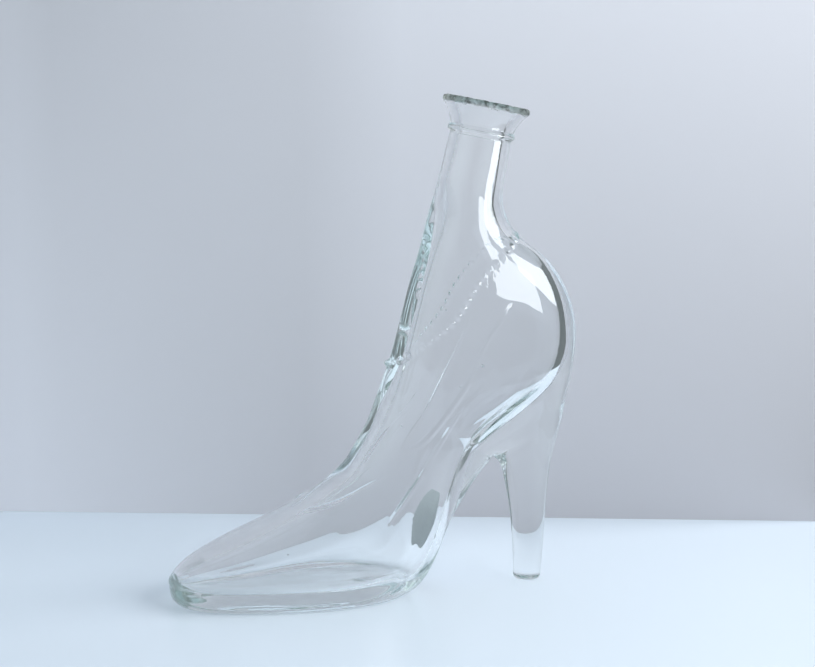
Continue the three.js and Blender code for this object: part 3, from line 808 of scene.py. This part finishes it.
def oval_disc():
    """A flat oval disc with a scalloped edge, filled by rings of faces towards its middle."""
    select_none()
    bpy.ops.mesh.primitive_circle_add(vertices=LABEL_POINTS, radius=1, fill_type="NOTHING")
    disc = bpy.context.active_object
    bpy.ops.object.mode_set(mode="EDIT")
    bpy.ops.mesh.select_mode(type="EDGE")
    bpy.ops.mesh.select_all(action="SELECT")
    mesh = bmesh.from_edit_mesh(disc.data)
    for vert in mesh.verts:
        angle = math.atan2(vert.co.y, vert.co.x)
        scallop = 1 + LABEL_SCALLOP_DEPTH * math.cos(LABEL_SCALLOPS * angle)
        vert.co.x *= LABEL_LENGTH / 2 * MM * scallop
        vert.co.y *= LABEL_WIDTH / 2 * MM * scallop
    bmesh.update_edit_mesh(disc.data)
    for ring in range(LABEL_RINGS, 1, -1):
        bpy.ops.mesh.extrude_region_move()
        bpy.ops.transform.resize(value=((ring - 1) / ring, (ring - 1) / ring, 1))
    bpy.ops.mesh.edge_face_add()
    bpy.ops.mesh.poke()
    bpy.ops.mesh.select_all(action="SELECT")
    bpy.ops.mesh.normals_make_consistent(inside=False)
    bpy.ops.object.mode_set(mode="OBJECT")
    return disc


def paper_label(glass):
    """The label, laid on the far flank of the shank and sunk a little into it, with no air between."""
    label = oval_disc()
    label.name = "label"
    along = (Vector(LABEL_UPPER) - Vector(LABEL_LOWER)).normalized()
    under = Vector((along.z, 0, -along.x))
    out = under * math.cos(LABEL_TURN) + Vector((0, 1, 0)) * math.sin(LABEL_TURN)
    across = out.cross(along)
    place = Matrix((along, across, out)).transposed().to_4x4()
    middle = (Vector(LABEL_UPPER) + Vector(LABEL_LOWER)) / 2 - under * LABEL_ROUND
    label.data.transform(Matrix.Translation(to_frame(middle)) @ place)
    skin = skin_of(glass)
    for vert in label.data.vertices:
        hit = skin.ray_cast(vert.co + out * LABEL_AWAY * LABEL_ROUND * MM, -out)[0]
        vert.co = hit + out * LABEL_PROUD * MM
    paper = label.modifiers.new("paper", "SOLIDIFY")
    paper.thickness = LABEL_THICKNESS * MM
    paper.offset = -1
    bpy.ops.object.modifier_apply(modifier=paper.name)
    bpy.ops.object.shade_smooth_by_angle(angle=LABEL_CREASE)
    return label


def feed(tree, node, inputs):
    """Set a node's inputs, by name or number: each is a plain value, or the output that feeds it."""
    for socket, value in inputs.items():
        if isinstance(value, bpy.types.NodeSocket):
            tree.links.new(value, node.inputs[socket])
        else:
            node.inputs[socket].default_value = value


def add_node(tree, kind, inputs, **settings):
    """Add a shader node with its settings and inputs."""
    node = tree.nodes.new(kind)
    for name, value in settings.items():
        setattr(node, name, value)
    feed(tree, node, inputs)
    return node


def calculate(tree, operation, *values):
    """The result of a calculation with values or outputs."""
    return add_node(tree, "ShaderNodeMath", dict(enumerate(values)), operation=operation).outputs["Value"]


def spread(tree, value, span, tones=(0, 1)):
    """A value that goes from the first tone to the second while another crosses a span."""
    ends = {"From Min": span[0], "From Max": span[1], "To Min": tones[0], "To Max": tones[1]}
    return add_node(tree, "ShaderNodeMapRange", {"Value": value, **ends}).outputs["Result"]


def ramp(tree, value, tones):
    """A colour between two tones, each with its place on the ramp."""
    node = add_node(tree, "ShaderNodeValToRGB", {"Fac": value})
    for element, (position, colour) in zip(node.color_ramp.elements, tones):
        element.position = position
        element.color = colour
    return node.outputs["Color"]


def new_material(name):
    """A material with its node tree and its shader."""
    material = bpy.data.materials.new(name)
    material.use_nodes = True
    return material, material.node_tree, material.node_tree.nodes["Principled BSDF"]


def moulded_glass():
    """Clear glass, faintly green where it is thick, with a pale shadow and a rough cut edge."""
    material, tree, shader = new_material("moulded_glass")
    facing = add_node(tree, "ShaderNodeLayerWeight", {}).outputs["Facing"]
    passing = spread(tree, facing, (SHADOW_SLANT, 1), (SHADOW_FACE_ON, SHADOW_GRAZING))
    shadow_ray = add_node(tree, "ShaderNodeLightPath", {}).outputs["Is Shadow Ray"]
    solid = calculate(tree, "SUBTRACT", 1, calculate(tree, "MULTIPLY", shadow_ray, passing))
    cut = add_node(tree, "ShaderNodeAttribute", {}, attribute_name="cut_edge").outputs["Fac"]
    place = add_node(tree, "ShaderNodeTexCoord", {}).outputs["Object"]
    grain = {"Vector": place, "Scale": FLAKE_SCALE, "Detail": FLAKE_DETAIL}
    flakes = ramp(tree, add_node(tree, "ShaderNodeTexNoise", grain).outputs["Fac"], FLAKE_TONES)
    tone = add_node(tree, "ShaderNodeMix", {0: cut, 6: UNTINTED, 7: flakes}, data_type="RGBA")
    feed(tree, shader, {
        "Base Color": tone.outputs[2],
        "Roughness": spread(tree, cut, (0, 1), (0, CUT_ROUGHNESS)),
        "IOR": GLASS_REFRACTION,
        "Alpha": solid,
        "Transmission Weight": 1,
    })
    absorb = add_node(tree, "ShaderNodeVolumeAbsorption", {"Color": GLASS_TINT, "Density": GLASS_DENSITY})
    feed(tree, tree.nodes["Material Output"], {"Volume": absorb.outputs["Volume"]})
    return material


def label_paper():
    """Matt grey paper with fine fibres."""
    material, tree, shader = new_material("label_paper")
    place = add_node(tree, "ShaderNodeTexCoord", {}).outputs["Object"]
    grain = {"Vector": place, "Scale": FIBRE_SCALE, "Detail": FIBRE_DETAIL}
    fibres = ramp(tree, add_node(tree, "ShaderNodeTexNoise", grain).outputs["Fac"], FIBRE_TONES)
    feed(tree, shader, {"Base Color": fibres, "Roughness": PAPER_ROUGHNESS})
    return material


def floor_finish():
    """Plain, pale and a little glossy."""
    material, tree, shader = new_material("floor")
    feed(tree, shader, {"Base Color": FLOOR_COLOUR, "Roughness": FLOOR_ROUGHNESS})
    return material


def backdrop_finish():
    """Plain and matt, with painted light and shade that make it paler towards the upper right, and clear from
    behind.
    """
    material, tree, shader = new_material("backdrop")
    place = add_node(tree, "ShaderNodeTexCoord", {}).outputs["Object"]
    spot = add_node(tree, "ShaderNodeSeparateXYZ", {"Vector": place}).outputs
    # Painted light and shade: the colour is scaled by a tone that changes with height and from left to right
    height = spread(tree, spot["Y"], (-STAGE_SIZE / 2, BACKDROP_RISE - STAGE_SIZE / 2))
    foot = spread(tree, spot["X"], FOOT_SPAN, FOOT_PAINTED_LIGHT)
    gain = spread(tree, spot["X"], GAIN_SPAN, GAIN_PAINTED_LIGHT)
    light = calculate(tree, "MULTIPLY_ADD", height, gain, foot)
    shade = add_node(tree, "ShaderNodeVectorMath", {0: BACKDROP_COLOUR, "Scale": light}, operation="SCALE")
    behind = add_node(tree, "ShaderNodeNewGeometry", {}).outputs["Backfacing"]
    feed(tree, shader, {
        "Base Color": shade.outputs["Vector"],
        "Roughness": BACKDROP_ROUGHNESS,
        "Alpha": calculate(tree, "MULTIPLY_ADD", behind, -1, 1),
    })
    return material


def camera():
    """The photograph's view."""
    data = bpy.data.cameras.new("camera")
    data.sensor_fit = "HORIZONTAL"
    data.sensor_width = SENSOR_WIDTH
    data.lens = FOCAL_PIXELS * SENSOR_WIDTH / IMAGE_PIXELS
    view = bpy.data.objects.new("camera", data)
    bpy.context.scene.collection.objects.link(view)
    aim = to_frame(CAMERA_AIM)
    away = Vector((math.sin(CAMERA_AZIMUTH), -math.cos(CAMERA_AZIMUTH), 0)) * CAMERA_DISTANCE
    view.location = Vector((aim.x, aim.y, CAMERA_HEIGHT)) + away
    view.rotation_euler = (aim - view.location).to_track_quat("-Z", "Y").to_euler()
    bpy.context.scene.camera = view


def stage_square(name, turn, place, material):
    """A square of the stage, turned and put in its place."""
    select_none()
    bpy.ops.mesh.primitive_plane_add(size=STAGE_SIZE)
    square = bpy.context.active_object
    square.name = name
    square.rotation_euler = turn
    square.location = place
    square.data.materials.append(material)
    return square


def soft_light():
    """Light from all round, strongest from the left and a little stronger from above."""
    world = bpy.data.worlds.new("soft_light")
    bpy.context.scene.world = world
    world.use_nodes = True
    tree = world.node_tree
    direction = add_node(tree, "ShaderNodeTexCoord", {}).outputs["Generated"]
    spot = add_node(tree, "ShaderNodeSeparateXYZ", {"Vector": direction}).outputs
    left = spread(tree, spot["X"], SKY_SPAN, SKY_TONES)
    above = calculate(tree, "MAXIMUM", spot["Z"], 0)
    strength = calculate(tree, "MULTIPLY_ADD", above, SKY_TOP, left)
    feed(tree, tree.nodes["Background"], {"Color": SKY_COLOUR, "Strength": strength})


def area_lamp(name, place, distance, size, power):
    """An area lamp that faces the ankle from an azimuth and an elevation, rolled about its own axis."""
    data = bpy.data.lights.new(name, "AREA")
    data.shape = "RECTANGLE"
    data.size, data.size_y = size
    data.energy = power
    lamp = bpy.data.objects.new(name, data)
    bpy.context.scene.collection.objects.link(lamp)
    azimuth, elevation, roll = map(math.radians, place)
    level = math.cos(elevation)
    towards = Vector((math.cos(azimuth) * level, math.sin(azimuth) * level, math.sin(elevation)))
    facing = towards.to_track_quat("Z", "Y").to_matrix()
    lamp.location = ANKLE + towards * distance
    lamp.rotation_euler = (facing @ Matrix.Rotation(-roll, 3, "Z")).to_euler()
    lamp.visible_camera = False
    lamp.visible_transmission = False
    return lamp


def studio(mirror):
    """Floor, backdrop and light; the panes light nothing but the piece that mirrors them."""
    along = Vector((math.cos(STAGE_TURN), math.sin(STAGE_TURN), 0))
    inward = Vector((-along.y, along.x, 0))
    middle = STAGE_FOOT + along * (STAGE_REACH - STAGE_SIZE / 2)
    floor_place = middle + inward * (STAGE_SIZE / 2 - FLOOR_DEPTH) - Vector((0, 0, FLOOR_DROP))
    floor = stage_square("floor", (0, 0, STAGE_TURN), floor_place, floor_finish())
    backdrop_place = middle + Vector((0, 0, STAGE_SIZE / 2))
    backdrop = stage_square("backdrop", (math.pi / 2, 0, STAGE_TURN), backdrop_place, backdrop_finish())
    soft_light()
    for lamp in LAMPS:
        area_lamp(*lamp).visible_glossy = False
    mirrors = bpy.data.collections.new("mirrors")
    mirrors.objects.link(mirror)
    for lamp in PANES:
        pane = area_lamp(*lamp)
        pane.data.color = PANE_COLOUR
        pane.visible_diffuse = False
        pane.light_linking.receiver_collection = mirrors
    bpy.context.scene.view_settings.view_transform = "Standard"
    bpy.context.scene.cycles.max_bounces = LIGHT_BOUNCES
    bpy.context.scene.cycles.glossy_bounces = LIGHT_BOUNCES
    bpy.context.scene.cycles.transmission_bounces = LIGHT_BOUNCES


glass = make_glass()
glass.data.materials.append(moulded_glass())
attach(glass, "root")
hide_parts("leg", "vamp", "quarters", "sole", "heel", "neck_ring", "lip", "bead_trim")
label = paper_label(glass)
label.data.materials.append(label_paper())
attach(label, "root")
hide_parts("oval_label")
camera()
studio(glass)
